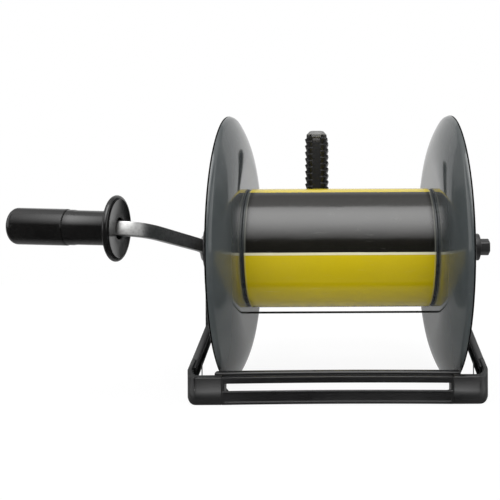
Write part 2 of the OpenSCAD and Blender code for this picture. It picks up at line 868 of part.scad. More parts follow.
module crank_bar() {
    color(zinc) at_crank() difference() {
        union() {
            translate([0, 0, -bar_w / 2]) linear_extrude(bar_w) polygon(band(crank_path, bar_t));
            rod_x(eye_r, eye_in, eye_out);
        }
        translate([eye_in - 1, -square_w / 2, -square_w / 2]) cube([bar_t + 2, square_w, square_w]);
    }
}

module crank_spindle() {
    rise = spindle_r * sin(grip_tilt) + 0.01;
    color(steel) difference() {
        union() {
            at_crank() translate([0, crank_r, 0]) rod_x(spindle_r + 1, bar_end, bar_end + 2 * rise + 0.01);
            at_grip() rod_x(spindle_r, bar_end + rise, spindle_end);
        }
        at_grip() rod_x(screw_r, spindle_end - retainer_shank_l, spindle_end + 1);
    }
}

module grip_retainer() {
    color(steel) at_grip() {
        rod_x(screw_r, spindle_end - retainer_shank_l, spindle_end);
        rod_x(retainer_r, spindle_end, spindle_end + retainer_t);
    }
}

module crank_grip() {
    guard_round = guard_t / 2;
    color(black_plastic) at_grip() turned(concat(
        [[pocket_r, guard_in]],
        arc([guard_r - guard_round, guard_mid], guard_round, -90, 90, 8),
        [
            [grip_r, guard_in + guard_t],
            [grip_r, grip_joint],
            [spigot_r, grip_joint],
            [spigot_r, grip_spigot_end],
            [spindle_r + run_gap, grip_spigot_end],
            [spindle_r + run_gap, pocket_end],
            [pocket_r, pocket_end]
        ]));
}

module crank_grip_cap() {
    outer_r = grip_r + grip_step;
    color(black_plastic) at_grip() turned(concat(
        [[spigot_r, grip_joint], [outer_r, grip_joint]],
        arc([outer_r - grip_round, grip_end - grip_round], grip_round, 0, 90, 8),
        [[0, grip_end], [0, grip_end - cap_wall], [spigot_r, grip_end - cap_wall]]));
}

left_side_frame();
right_side_frame();
base_bar();
rear_bar();
hand_grip();
hand_grip_cap();
left_hook();
right_hook();
frame_screws();
axle();
axle_cap();
axle_washer();
gear_housing();
housing_screws();
shaft_bush();
ring_gear();
drum_core();
label_sleeve();
left_flange();
right_flange();
tie_bar();
drum_tie_rods();
tie_rod_nuts();
left_bush();
right_bush();
sun_gear();
sun_screws();
planet_carrier();
planet_pins();
planet_gear_1();
planet_gear_2();
planet_gear_3();
crank_bar();
crank_spindle();
grip_retainer();
crank_grip();
crank_grip_cap();
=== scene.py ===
import json
import math
import bpy
from mathutils import Matrix, Vector

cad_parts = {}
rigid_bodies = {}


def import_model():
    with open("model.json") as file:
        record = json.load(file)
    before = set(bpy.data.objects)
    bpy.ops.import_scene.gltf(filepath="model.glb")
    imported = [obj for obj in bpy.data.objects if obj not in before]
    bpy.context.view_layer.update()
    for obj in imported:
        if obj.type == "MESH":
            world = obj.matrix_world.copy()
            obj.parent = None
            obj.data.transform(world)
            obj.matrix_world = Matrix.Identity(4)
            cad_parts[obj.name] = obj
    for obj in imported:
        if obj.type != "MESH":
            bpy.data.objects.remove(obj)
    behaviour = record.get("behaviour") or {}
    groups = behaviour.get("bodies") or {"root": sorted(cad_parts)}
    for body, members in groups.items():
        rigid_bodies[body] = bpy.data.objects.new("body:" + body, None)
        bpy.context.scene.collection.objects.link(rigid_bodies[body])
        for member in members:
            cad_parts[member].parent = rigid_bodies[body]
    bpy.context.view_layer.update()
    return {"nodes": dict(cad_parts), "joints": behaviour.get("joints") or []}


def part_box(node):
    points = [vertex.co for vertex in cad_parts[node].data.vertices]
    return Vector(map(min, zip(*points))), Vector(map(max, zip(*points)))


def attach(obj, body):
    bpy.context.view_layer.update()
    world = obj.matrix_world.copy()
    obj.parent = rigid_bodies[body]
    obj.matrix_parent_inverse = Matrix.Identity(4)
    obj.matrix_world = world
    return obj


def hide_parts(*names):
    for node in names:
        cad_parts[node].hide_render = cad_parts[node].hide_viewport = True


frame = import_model()
axle_x, axle_y, axle_z = [j["pos_m"] for j in frame["joints"] if j["name"] == "drum_turn"][0]


# Base bar: two black plastic rails with a slot between them, which the reel stands on at the front.
# It is one injection moulding with a satin skin. Its ends are tenoned into the corner blocks of the
# side frames and screwed from below, and a low rib runs along the back of the upper rail.
def block(low, high):
    """Adds a cube and stretches it to the box between two corners."""
    bpy.ops.object.select_all(action="DESELECT")
    bpy.ops.mesh.primitive_cube_add(size=1)
    bpy.ops.object.mode_set(mode="EDIT")
    bpy.ops.transform.resize(value=[b - a for a, b in zip(low, high)], center_override=(0, 0, 0))
    bpy.ops.transform.translate(value=[(a + b) / 2 for a, b in zip(low, high)])
    bpy.ops.object.mode_set(mode="OBJECT")
    return bpy.context.active_object


def pick(piece):
    """Selects one piece alone and makes it the active one."""
    bpy.ops.object.select_all(action="DESELECT")
    piece.select_set(True)
    bpy.context.view_layer.objects.active = piece


def apply_changes(piece):
    """Applies the modifiers of one piece, from first to last."""
    pick(piece)
    for change in list(piece.modifiers):
        bpy.ops.object.modifier_apply(modifier=change.name)


def combine(piece, tool, operation):
    """Cuts one solid from another, or welds it on, and throws the tool away."""
    change = piece.modifiers.new("combine", "BOOLEAN")
    change.operation = operation
    change.solver = "EXACT"
    change.object = tool
    apply_changes(piece)
    bpy.data.objects.remove(tool)


def carve(piece, low, high):
    """Cuts the box between two corners out of a piece."""
    combine(piece, block(low, high), "DIFFERENCE")


def ease(piece, width, segments=2):
    """Rounds the sharp edges as a mould does, and shades the rest smooth."""
    change = piece.modifiers.new("ease", "BEVEL")
    change.width = width
    change.segments = segments
    change.limit_method = "ANGLE"
    change.angle_limit = math.radians(38)
    change.use_clamp_overlap = False
    apply_changes(piece)
    bpy.ops.object.shade_smooth_by_angle(angle=math.radians(42))


def cut_plane(piece, spot, normal):
    """Adds a ring of edges where a plane passes through a piece."""
    pick(piece)
    bpy.ops.object.mode_set(mode="EDIT")
    bpy.ops.mesh.select_all(action="SELECT")
    bpy.ops.mesh.bisect(plane_co=spot, plane_no=normal)
    bpy.ops.object.mode_set(mode="OBJECT")


def fit(piece, name, body, slot, material, *nodes):
    """Names a finished piece, gives it its finish and puts it in the place of its CAD nodes."""
    piece.name = name
    piece.data.name = name
    piece.data.materials.clear()
    piece.data.materials.append(material)
    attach(piece, body)
    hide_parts(*nodes)


class Shade:
    """A socket of a node tree. Sums and products of shades add Math nodes to the tree."""

    def __init__(self, tree, socket):
        self.tree = tree
        self.socket = socket

    def node(self, kind, settings=None, sockets=None, out=0):
        made = self.tree.nodes.new("ShaderNode" + kind)
        for key, value in (settings or {}).items():
            setattr(made, key, value)
        for key, value in (sockets or {}).items():
            if isinstance(value, Shade):
                self.tree.links.new(value.socket, made.inputs[key])
            else:
                made.inputs[key].default_value = value
        return Shade(self.tree, made.outputs[out])

    def other(self, out):
        return Shade(self.tree, self.socket.node.outputs[out])

    def math(self, operation, first, second=0.0):
        return self.node("Math", {"operation": operation}, {0: first, 1: second})

    def __add__(self, value):
        return self.math("ADD", self, value)

    def __radd__(self, value):
        return self.math("ADD", value, self)

    def __sub__(self, value):
        return self.math("SUBTRACT", self, value)

    def __rsub__(self, value):
        return self.math("SUBTRACT", value, self)

    def __mul__(self, value):
        return self.math("MULTIPLY", self, value)

    def __rmul__(self, value):
        return self.math("MULTIPLY", value, self)

    def __gt__(self, value):
        return self.math("GREATER_THAN", self, value)

    def __lt__(self, value):
        return self.math("LESS_THAN", self, value)

    def between(self, low, high, start=0.0, end=1.0):
        """Runs smoothly from start to end while this value goes from low to high."""
        return self.node("MapRange", {"interpolation_type": "SMOOTHSTEP"},
            {"Value": self, "From Min": low, "From Max": high, "To Min": start, "To Max": end})

    def blend(self, colour, other_colour):
        """Mixes two colours, with this value as the share of the second."""
        return self.node("Mix", {"data_type": "RGBA"}, {0: self, 6: colour, 7: other_colour}, 2)

    def noise(self, scale, detail=3.0, stretch=(1, 1, 1)):
        """Cloudy noise on this place, finer along the axes with a large stretch."""
        spot = self.node("Mapping", {}, {"Vector": self, "Scale": stretch})
        return self.node("TexNoise", {}, {"Vector": spot, "Scale": scale, "Detail": detail})

    def rounded(self, reach):
        """The surface's normal with sharp edges rounded off over a short reach."""
        return self.node("Bevel", {"samples": 4}, {"Radius": reach})

    def edges(self, reach):
        """Near 1 along sharp outer edges, where a surface is rubbed first."""
        flat = self.node("NewGeometry", out="Normal")
        facing = {0: self.rounded(reach), 1: flat}
        turn = self.node("VectorMath", {"operation": "DOT_PRODUCT"}, facing, "Value")
        return (1 - turn).between(0.02, 0.2)

    def relief(self, height, depth, normal=None):
        """Bumps of the given depth in metres, from a height between 0 and 1."""
        sockets = {"Strength": 1.0, "Distance": depth, "Height": height}
        if normal:
            sockets["Normal"] = normal
        return self.node("Bump", {}, sockets)


def finish(name, fixed, paint):
    """A material. Fixed values go straight on the shader, and paint makes what varies with the place."""
    material = bpy.data.materials.new(name)
    material.use_nodes = True
    tree = material.node_tree
    shader = tree.nodes["Principled BSDF"]
    for key, value in fixed.items():
        shader.inputs[key].default_value = value
    place = Shade(tree, tree.nodes.new("ShaderNodeTexCoord").outputs["Object"])
    for key, value in paint(place).items():
        tree.links.new(value.socket, shader.inputs[key])
    return material


def moulded(deep, pale, smooth, rough, grain, reach=0.0006):
    """Paint for moulded plastic: two close tones in clouds, a fine skin and paler rubbed edges."""
    def paint(place):
        clouds = place.noise(26, 5)
        skin = place.noise(2400, 2)
        scuffs = place.noise(90, 6, (1, 9, 3)).between(0.62, 0.74)
        rubbed = place.edges(reach) * place.noise(220, 4).between(0.35, 0.7)
        tone = clouds.between(0.3, 0.7).blend((*deep, 1), (*pale, 1))
        worn = [min(1, 2.1 * value + 0.012) for value in pale]
        return {
            "Base Color": (rubbed * 0.55 + scuffs * 0.12).blend(tone, (*worn, 1)),
            "Roughness": clouds.between(0.25, 0.75, smooth, rough) + scuffs * 0.08 + skin * 0.05,
            "Normal": place.relief(skin + scuffs * -0.4, grain, place.rounded(reach)),
        }
    return paint


frame_black = finish("satin_black_plastic", {"IOR": 1.5, "Specular IOR Level": 0.5},
    moulded((0.006, 0.006, 0.0062), (0.011, 0.011, 0.0113), 0.24, 0.36, 0.000006))

tenon_l = 0.012
rail_left, rail_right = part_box("base_bar")[0][0] + tenon_l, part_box("base_bar")[1][0] - tenon_l
base_front, rail_back, base_back = -0.011, 0.00085, 0.011
sole_t, slot_low, slot_high, base_top = 0.0055, 0.011, 0.0172, 0.0225
rail_wall, web, ledge, panel_low, panel_high = 0.003, 0.002, 0.0004, 0.0022, 0.0094
slot_left, slot_right, ledge_front = rail_left + web, rail_right - web, base_front + ledge
clear_x, clear_y, clear_z = 0.2, 0.03, 0.05
base_bar = block((rail_left, base_front, 0), (rail_right, base_back, base_top))
carve(base_bar, (slot_left, -clear_y, slot_low), (slot_right, clear_y, slot_high))
carve(base_bar, (-clear_x, rail_back, sole_t), (clear_x, clear_y, clear_z))
carve(base_bar, (slot_left, base_front + rail_wall, sole_t), (slot_right, clear_y, slot_low + 0.001))
carve(base_bar, (-clear_x, -clear_y, slot_low), (clear_x, ledge_front, clear_z))
carve(base_bar, (slot_left, -clear_y, panel_low), (slot_right, ledge_front, panel_high))
ease(base_bar, 0.0005, 3)
rib_rise, rib_d, rib_lap, rib_sink = 0.0033, 0.0068, 0.007, 0.0008
rear_rib = block((rail_left - rib_lap, rail_back - rib_d, base_top - rib_sink),
    (rail_right + rib_lap, rail_back, base_top + rib_rise))
ease(rear_rib, 0.0018, 5)
combine(base_bar, rear_rib, "UNION")
bow, bow_steps, middle = 0.0006, 24, (rail_left + rail_right) / 2
for step in range(1, bow_steps):
    cut_plane(base_bar, (rail_left + (rail_right - rail_left) * step / bow_steps, 0, 0), (1, 0, 0))
for vertex in base_bar.data.vertices:
    reach = min(1, abs(vertex.co.x - middle) / (rail_right - middle))
    vertex.co.z += bow * (1 - reach ** 2)
bpy.ops.object.shade_smooth_by_angle(angle=math.radians(42))
fit(base_bar, "base_bar_moulding", "frame", "frame_plastic", frame_black, "base_bar")


# Side frames: a corner block, a slanting arm with rims, a post for the axle and a rear block, each side
# one black injection moulding. The lower half of a corner block stands a little proud of the upper half.
def copy_of(node):
    """A merged copy of a CAD node, with its flat faces made whole."""
    pick(frame["nodes"][node])
    bpy.ops.object.duplicate()
    bpy.ops.object.parent_clear(type="CLEAR_KEEP_TRANSFORM")
    bpy.ops.object.mode_set(mode="EDIT")
    bpy.ops.mesh.select_all(action="SELECT")
    bpy.ops.mesh.remove_doubles(threshold=0.000002)
    bpy.ops.mesh.dissolve_limited(angle_limit=math.radians(0.6))
    bpy.ops.object.mode_set(mode="OBJECT")
    copy = bpy.context.active_object
    for key in [key for key in copy.keys() if key.startswith("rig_")]:
        del copy[key]
    return copy


corner_r, block_w, skin_t, arm_foot, seam = 0.010, 0.030, 0.0025, 0.035, 0.0002
for side, way in (("left", -1), ("right", 1)):
    side_frame = copy_of(side + "_side_frame")
    ease(side_frame, 0.0006)
    for level in (slot_low - seam, slot_low + seam):
        cut_plane(side_frame, (0, 0, level), (0, 0, 1))
    corner_x = (rail_right if way > 0 else -rail_left) + block_w - corner_r
    corner_y = base_front + corner_r
    for vertex in side_frame.data.vertices:
        x, y, z = way * vertex.co.x - corner_x, vertex.co.y - corner_y, vertex.co.z
        reach = math.hypot(x, y)
        if y >= 0 or not slot_low < z < arm_foot:
            continue
        if x < 0 and y < skin_t - corner_r:
            vertex.co.y += ledge
        elif x >= 0 and reach > corner_r - skin_t:
            share = ledge * (y / reach) ** 2
            vertex.co.x -= way * share * x / reach
            vertex.co.y -= share * y / reach
    bpy.ops.object.shade_smooth_by_angle(angle=math.radians(42))
    fit(side_frame, side + "_frame_moulding", "frame", "frame_plastic", frame_black, side + "_side_frame")


# Rear bar: the square black plastic bar behind the drum that joins the side frames.
# It is moulded with the post that stands inside the carrying grip, and is screwed in at both ends.
rear_bar = copy_of("rear_bar")
ease(rear_bar, 0.0012, 3)
fit(rear_bar, "rear_bar_moulding", "frame", "frame_plastic", frame_black, "rear_bar")


# Carrying grip: a black plastic sleeve over the post of the rear bar, rounded in plan.
# Its flanks are moulded in rows of overlapping scales for the hand, with a smooth strip front and back.
def extrude(step):
    """Extrudes what is selected, by a step along X, Y and Z."""
    bpy.ops.mesh.extrude_region_move(TRANSFORM_OT_translate={"value": step})


def outline(points):
    """Draws a chain of edges through the points, one extruded vertex after another, in edit mode."""
    bpy.ops.object.select_all(action="DESELECT")
    bpy.ops.mesh.primitive_plane_add(size=0.01)
    bpy.ops.object.mode_set(mode="EDIT")
    bpy.ops.mesh.select_mode(type="VERT")
    bpy.ops.mesh.merge(type="CENTER")
    bpy.ops.transform.translate(value=points[0])
    for start, end in zip(points, points[1:]):
        extrude([b - a for a, b in zip(start, end)])


def filled(points):
    """Draws the points as a closed outline and fills it with one face, in edit mode."""
    outline(points + points[:1])
    bpy.ops.mesh.select_all(action="SELECT")
    bpy.ops.mesh.remove_doubles(threshold=0.000002)
    bpy.ops.mesh.edge_face_add()


def closed():
    """Turns the faces of a finished solid outwards, leaves edit mode and returns the piece."""
    bpy.ops.mesh.select_all(action="SELECT")
    bpy.ops.mesh.normals_make_consistent(inside=False)
    bpy.ops.object.mode_set(mode="OBJECT")
    return bpy.context.active_object


def round_plan(half_x, half_y, corner, steps, side_steps):
    """Points of a rectangle with round corners, anticlockwise, with points along its long sides."""
    points = []
    for turn, sx, sy in ((0, 1, 1), (90, -1, 1), (180, -1, -1), (270, 1, -1)):
        for i in range(steps + 1):
            a = math.radians(turn + 90 * i / steps)
            x = sx * (half_x - corner) + corner * math.cos(a)
            y = sy * (half_y - corner) + corner * math.sin(a)
            points.append((x, y))
        if turn in (90, 270):
            points += [(x, y - 2 * y * i / side_steps) for i in range(1, side_steps)]
    return points


grip_x, grip_y = -0.0273, axle_y + 0.138
grip_low, grip_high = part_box("hand_grip")[0][2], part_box("hand_grip")[1][2]
half_w, half_d, plan_r, strip = 0.0119, 0.016, 0.0075, 0.0050
scale_h, row_h, column_w, scale_top = 0.0020, 0.00755, 0.0082, grip_high - 0.0003
filled([(grip_x + x, grip_y + y, grip_low) for x, y in round_plan(half_w, half_d, plan_r, 14, 16)])
scale_rows = int((scale_top - grip_low - 0.003) / row_h)
row_parts, peak = (0, 0.1, 0.2, 0.35, 0.5, 0.6, 0.7, 0.85), 0.2
levels = [scale_top - row_h * (row + part) for row in range(scale_rows) for part in row_parts]
scale_low, height = min(levels), grip_low
for level in sorted(levels) + [grip_high]:
    extrude((0, 0, level - height))
    height = level
hand_grip = closed()
for vertex in hand_grip.data.vertices:
    x, y, z = vertex.co.x - grip_x, vertex.co.y - grip_y, vertex.co.z
    cx = max(-half_w + plan_r, min(half_w - plan_r, x))
    cy = max(-half_d + plan_r, min(half_d - plan_r, y))
    turn = math.atan2(abs(x - cx), abs(y - cy)) if abs(x - cx) + abs(y - cy) > 0 else 0
    along = turn * plan_r + (half_d - plan_r - abs(cy) if abs(y) < half_d - plan_r else 0)
    if abs(x) < strip or not scale_low - 0.0001 < z < scale_top + 0.0001:
        continue
    column = along / column_w
    shift = 0.5 * ((min(int(column), 1) + (x < 0)) % 2)
    drop = ((scale_top - z) / row_h + shift) % 1
    rise = min(drop / peak, (1 - drop) / (1 - peak))
    lobe = math.sqrt(abs(math.sin(math.pi * (column % 1))))
    push = scale_h * (0.4 + 0.6 * lobe) * rise
    out = math.hypot(x - cx, y - cy)
    vertex.co.x += push * (x - cx) / out
    vertex.co.y += push * (y - cy) / out
bore_w, bore_d, past = 0.007, 0.008, 0.01
carve(hand_grip, (grip_x - bore_w, grip_y - bore_d, grip_low - past),
    (grip_x + bore_w, grip_y + bore_d, grip_high + past))
cap_front, catch_low, catch_high = grip_y - half_d, grip_high - 0.0058, grip_high - 0.0019
catch_w, catch_gap, pocket_d = 0.0046, 0.0004, 0.0016
carve(hand_grip, (grip_x - catch_w - catch_gap, cap_front - past, catch_low - catch_gap),
    (grip_x + catch_w + catch_gap, cap_front + pocket_d, grip_high + past))
bpy.ops.object.shade_smooth_by_angle(angle=math.radians(18))
grip_black = finish("scaled_black_plastic", {"IOR": 1.48, "Specular IOR Level": 0.4},
    moulded((0.007, 0.007, 0.0072), (0.012, 0.012, 0.012), 0.28, 0.4, 0.000008, 0.0004))
fit(hand_grip, "carrying_grip", "frame", "hand_grip_plastic", grip_black, "hand_grip")


# Cap of the carrying grip: a grey plastic lid with sloped shoulders, pressed on the top of the sleeve.
# A tab in the middle of its front reaches down to the sleeve, over a catch in a pocket there.
cap_low, cap_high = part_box("hand_grip_cap")[0][2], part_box("hand_grip_cap")[1][2]
shoulder, top_w, top_d = 0.0042, 0.7, 0.78
filled([(grip_x + x, grip_y + y, cap_low) for x, y in round_plan(half_w, half_d, plan_r, 10, 4)])
extrude((0, 0, cap_high - cap_low - shoulder))
extrude((0, 0, shoulder))
bpy.ops.transform.resize(value=(top_w, top_d, 1), center_override=(grip_x, grip_y, cap_high))
hand_cap = closed()
tab_w, notch_end, notch_d, lid_edge = 0.0057, 0.02, 0.006, cap_low + 0.0026
for start, end in ((-notch_end, -tab_w), (tab_w, notch_end)):
    carve(hand_cap, (grip_x + start, cap_front - 0.002, cap_low - 0.001),
        (grip_x + end, cap_front + notch_d, lid_edge))
for near, deep, top in ((0.0009, pocket_d, cap_low + 0.002), (0.0004, 0.0014, catch_high)):
    catch = block((grip_x - catch_w, cap_front + near, catch_low), (grip_x + catch_w, cap_front + deep, top))
    combine(hand_cap, catch, "UNION")
ease(hand_cap, 0.0003)


def lid_paint(place):
    """The lid's grey, with painted shade: darker on the catch below the tab."""
    values = moulded((0.1, 0.1, 0.098), (0.15, 0.15, 0.146), 0.34, 0.48, 0.000008)(place)
    # Painted shade: below the lid's lower edge, on the catch in the pocket, the grey is darkened to stand in
    # for its shade.
    above = place.node("SeparateXYZ", {}, {0: place}).other("Z").between(cap_low - 0.0008, cap_low)
    values["Base Color"] = above.blend((0.034, 0.032, 0.031, 1), values["Base Color"])
    return values


grip_grey = finish("dark_grey_plastic", {"IOR": 1.5, "Specular IOR Level": 0.5}, lid_paint)
fit(hand_cap, "carrying_grip_lid", "frame", "hand_cap_plastic", grip_grey, "hand_grip_cap")


# Hooks: two bent rods of zinc-plated steel that stand in sockets under the rear blocks.
# The reel hangs on a fence by them, and they rest on the ground as rear feet.
def plated(deep, pale, smooth, rough):
    """Paint for plated or ground steel: cloudy tone, fine draw lines and duller rubbed edges."""
    def paint(place):
        clouds = place.noise(60, 5)
        spangle = place.node("TexVoronoi", {}, {"Vector": place, "Scale": 420.0})
        lines = place.noise(300, 3, (1, 14, 14))
        tone = (clouds * 0.7 + spangle * 0.4).between(0.2, 0.8).blend((*deep, 1), (*pale, 1))
        return {
            "Base Color": tone,
            "Roughness": clouds.between(0.25, 0.75, smooth, rough) + lines * 0.08 + place.edges(0.0005) * 0.1,
            "Normal": place.relief(lines, 0.000012, place.rounded(0.0004)),
        }
    return paint


bright_zinc = finish("bright_zinc_plate", {"Metallic": 1.0},
    plated((0.5, 0.5, 0.5), (0.72, 0.72, 0.71), 0.2, 0.34))
rod_r, bend_r, tip_l = 0.0035, 0.012, 0.019
for side in ("left", "right"):
    low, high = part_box(side + "_hook")
    hook_x = (low[0] + high[0]) / 2
    hook_y, bend_z = high[1] - rod_r, low[2] + rod_r + bend_r
    bpy.ops.object.select_all(action="DESELECT")
    bpy.ops.mesh.primitive_circle_add(vertices=24, radius=rod_r, fill_type="NGON")
    bpy.ops.object.mode_set(mode="EDIT")
    bpy.ops.transform.translate(value=(hook_x, hook_y, high[2]))
    extrude((0, 0, bend_z - high[2]))
    bpy.ops.mesh.spin(steps=24, angle=-math.pi, center=(hook_x, hook_y - bend_r, bend_z), axis=(1, 0, 0))
    extrude((0, 0, tip_l))
    bpy.ops.mesh.select_all(action="SELECT")
    bpy.ops.mesh.remove_doubles(threshold=0.000002)
    hook = closed()
    ease(hook, 0.0008, 3)
    fit(hook, side + "_hook_rod", "frame", "hook_steel", bright_zinc, side + "_hook")


# Axle and its cap: a ground steel rod held in the right post, closed by a six-sided black plastic cap.
# The washer, the screws and the tie rods are plated steel, and keep the shapes of the CAD model.
ground_steel = finish("ground_steel", {"Metallic": 1.0},
    plated((0.4, 0.4, 0.41), (0.58, 0.58, 0.59), 0.24, 0.36))
for node in ("axle", "planet_carrier", "planet_pins", "crank_spindle", "grip_retainer"):
    frame["nodes"][node].material_slots[0].material = ground_steel
for node in ("frame_screws", "housing_screws", "drum_tie_rods", "tie_rod_nuts", "sun_screws", "axle_washer"):
    frame["nodes"][node].material_slots[0].material = bright_zinc
axle_cap = copy_of("axle_cap")
ease(axle_cap, 0.0009, 3)
cap_black = finish("cap_black_plastic", {"IOR": 1.5, "Specular IOR Level": 0.5},
    moulded((0.011, 0.011, 0.0115), (0.018, 0.018, 0.018), 0.24, 0.34, 0.000006))
fit(axle_cap, "axle_end_cap", "frame", "axle_cap_plastic", cap_black, "axle_cap")


# Gear set: the housing is dark grey moulded plastic, and the gears and bushes in it are natural nylon.
# The housing is screwed to the left post, and holds the ring gear that the planets run in.
housing = copy_of("gear_housing")
ease(housing, 0.0006)
housing_grey = finish("housing_plastic", {"IOR": 1.5},
    moulded((0.03, 0.032, 0.034), (0.045, 0.047, 0.05), 0.32, 0.46, 0.000008))
fit(housing, "gear_housing_shell", "frame", "housing_plastic", housing_grey, "gear_housing")
gear_nylon = finish("natural_nylon", {"IOR": 1.53, "Subsurface Weight": 0.1, "Subsurface Scale": 0.001},
    moulded((0.5, 0.46, 0.38), (0.62, 0.59, 0.5), 0.38, 0.5, 0.000008, 0.0003))
gears = ("ring_gear", "sun_gear", "planet_gear_1", "planet_gear_2", "planet_gear_3")
for node in gears + ("shaft_bush", "left_bush", "right_bush"):
    frame["nodes"][node].material_slots[0].material = gear_nylon


# Drum core: a slate grey plastic tube between the flanges, spigoted on to them.
# Only a narrow ring of it shows at each end of the label.
def spun(profile, centre, steps):
    """Spins a closed or axis-bound profile of (place along X, radius) about a line along X."""
    outline([(x, centre[1], centre[2] + r) for x, r in profile])
    bpy.ops.mesh.select_all(action="SELECT")
    bpy.ops.mesh.remove_doubles(threshold=0.0000005)
    bpy.ops.mesh.spin(steps=steps, angle=math.tau, center=(0, centre[1], centre[2]), axis=(1, 0, 0))
    bpy.ops.mesh.select_all(action="SELECT")
    bpy.ops.mesh.remove_doubles(threshold=0.000001)
    piece = closed()
    bpy.ops.object.shade_smooth_by_angle(angle=math.radians(30))
    return piece


def sweep(centre, radius, start, end, steps):
    """Points on an arc of (place along X, radius), with angles in degrees from the X axis."""
    turns = [math.radians(start + (end - start) * i / steps) for i in range(steps + 1)]
    return [(centre[0] + radius * math.cos(a), centre[1] + radius * math.sin(a)) for a in turns]


def ring(half, inner, outer, edge_x, edge_r):
    """Profile of a tube or a rod from -half to half along X, with chamfers on its outer edges."""
    return [(-half, inner), (-half, outer - edge_r), (edge_x - half, outer),
        (half - edge_x, outer), (half, outer - edge_r), (half, inner)]


axle = (axle_x, axle_y, axle_z)
core_half, tube_r, tube_in = 0.086, 0.0565, 0.0538
profile = ring(core_half, tube_in, tube_r, 0.0004, 0.0004)
core = spun(profile + profile[:1], axle, 160)
slate_core = finish("slate_core_plastic", {"IOR": 1.5},
    moulded((0.03, 0.034, 0.036), (0.045, 0.05, 0.052), 0.2, 0.32, 0.000005))
fit(core, "drum_core_tube", "drum", "core_plastic", slate_core, "drum_core")


# Label: one sleeve of glossy printed film, heat-shrunk round the core.
# It is printed twice round, each time a black field above a pale line, on a yellow ground.
def film(place):
    """Paint for the label: its colour fields by the turn round the axle, with painted shade on the yellow
    ground, a painted highlight along the cut edges, and some dust and creases.
    """
    from_axle = place.node("VectorMath", {"operation": "SUBTRACT"}, {0: place, 1: axle})
    x = place.node("SeparateXYZ", {}, {0: from_axle})
    turn = x.math("ARCTAN2", x.other("Z"), x.other("Y") * -1) * (180 / math.pi)
    turn = x.math("FLOORED_MODULO", turn + 90, 180.0) - 90
    weave = place.noise(14, 2)
    waver = (weave - 0.5) * 0.5
    black = ((turn + waver) > -2.9) * ((turn + waver) < 66.0)
    pale = ((turn + waver) > -5.2) * ((turn + waver) < -2.9)
    ink = place.noise(900, 3)
    # Painted shade: the yellow ground is made darker and greyer from just under the pale line to the far end
    # of each print, where the front print turns under the drum.
    ground = (turn * -1).between(10, 85).blend((0.52, 0.40, 0.001, 1), (0.47, 0.375, 0.006, 1))
    ground = ink.between(0.3, 0.7, 0, 0.12).blend(ground, (0.40, 0.31, 0.001, 1))
    field = ink.between(0.3, 0.8).blend((0.006, 0.0055, 0.004, 1), (0.011, 0.0105, 0.008, 1))
    colour = black.blend(ground, field)
    colour = pale.blend(colour, (0.62, 0.6, 0.42, 1))
    # Painted highlight: a paler grey band along each cut edge of the film stands in for the glint on its
    # edges.
    painted_edge_highlight = x.math("ABSOLUTE", x) > label_half - 0.0014
    colour = (painted_edge_highlight * 0.3).blend(colour, (0.3, 0.31, 0.27, 1))
    dust = place.noise(140, 6, (0.4, 2, 2)).between(0.6, 0.78)
    creases = place.noise(38, 3, (0.5, 1, 1))
    return {
        "Base Color": (dust * 0.05).blend(colour, (0.5, 0.5, 0.48, 1)),
        "Roughness": weave.between(0.2, 0.8, 0.13, 0.2) + dust * 0.1,
        "Normal": place.relief(creases, 0.00022),
    }


label_half, film_r = 0.084, 0.057
profile = ring(label_half, tube_r, film_r, 0.0003, 0.0002)
label = spun(profile + profile[:1], axle, 192)
label_film = finish("printed_film", {"IOR": 1.5, "Specular IOR Level": 0.55}, film)
fit(label, "label_film_sleeve", "drum", "label_film", label_film, "label_sleeve")


# Flanges: two dished discs of glossy slate grey plastic with a turned-out lip and ribs on the outside.
# They are injection moulded and are clamped on the ends of the core by four tie rods and nuts.
def slate(place):
    """Paint for the flanges: two close slate tones, faint rings from the mould and scuffs from wire."""
    from_axle = place.node("VectorMath", {"operation": "SUBTRACT"}, {0: place, 1: axle})
    across = place.node("VectorMath", {"operation": "MULTIPLY"}, {0: from_axle, 1: (0, 1, 1)})
    radius = place.node("VectorMath", {"operation": "LENGTH"}, {0: across}, "Value")
    clouds = place.noise(22, 5)
    flow = place.math("SINE", radius * 900 + clouds * 9)
    skin = place.noise(1500, 2)
    scuffs = place.noise(70, 7, (1, 5, 5)).between(0.63, 0.75)
    rubbed = place.edges(0.0006) * place.noise(200, 4).between(0.35, 0.7)
    tone = clouds.between(0.3, 0.7).blend((0.047, 0.054, 0.056, 1), (0.06, 0.067, 0.068, 1))
    return {
        "Base Color": (rubbed * 0.4 + scuffs * 0.12).blend(tone, (0.15, 0.16, 0.16, 1)),
        "Roughness": clouds.between(0.25, 0.75, 0.07, 0.13) + scuffs * 0.08 + flow * 0.006,
        "Normal": place.relief(skin + scuffs * -0.5, 0.000006, place.rounded(0.0005)),
    }


slate_plastic = finish("slate_plastic", {"IOR": 1.52, "Specular IOR Level": 0.5}, slate)
flange_r, wall, flat_r, dish_turn, rim_out = 0.125, 0.0032, 0.08, 30.7, 0.1035
hub_bore, hub_r, hub_foot_r = 0.00805, 0.01305, 0.0135
spigot_tip, spigot_in = core_half - 0.006, tube_in - 0.002
rib_count, rib_t, rib_h, anchor_r, anchor_place = 8, 0.003, 0.003, 0.003, 0.069
lip_bend, slope = wall * 2, math.radians(dish_turn)
dish_r = (flange_r - lip_bend * (1 - math.sin(slope)) - flat_r) / math.sin(slope)
rim_in, web_out = core_half + dish_r * (1 - math.cos(slope)), core_half + wall
dish_mid = (core_half + dish_r, flat_r)
bend_mid = (rim_in + lip_bend * math.cos(slope), flange_r - lip_bend)
rib = [(web_out - 0.001, film_r), (web_out + rib_h, film_r), (rim_out - 0.002, flange_r - wall + 0.0006)]
rib += sweep(dish_mid, dish_r - wall / 2, 180 - dish_turn, 180, 10)
hub_ends = (-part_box("left_flange")[0][0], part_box("right_flange")[1][0])
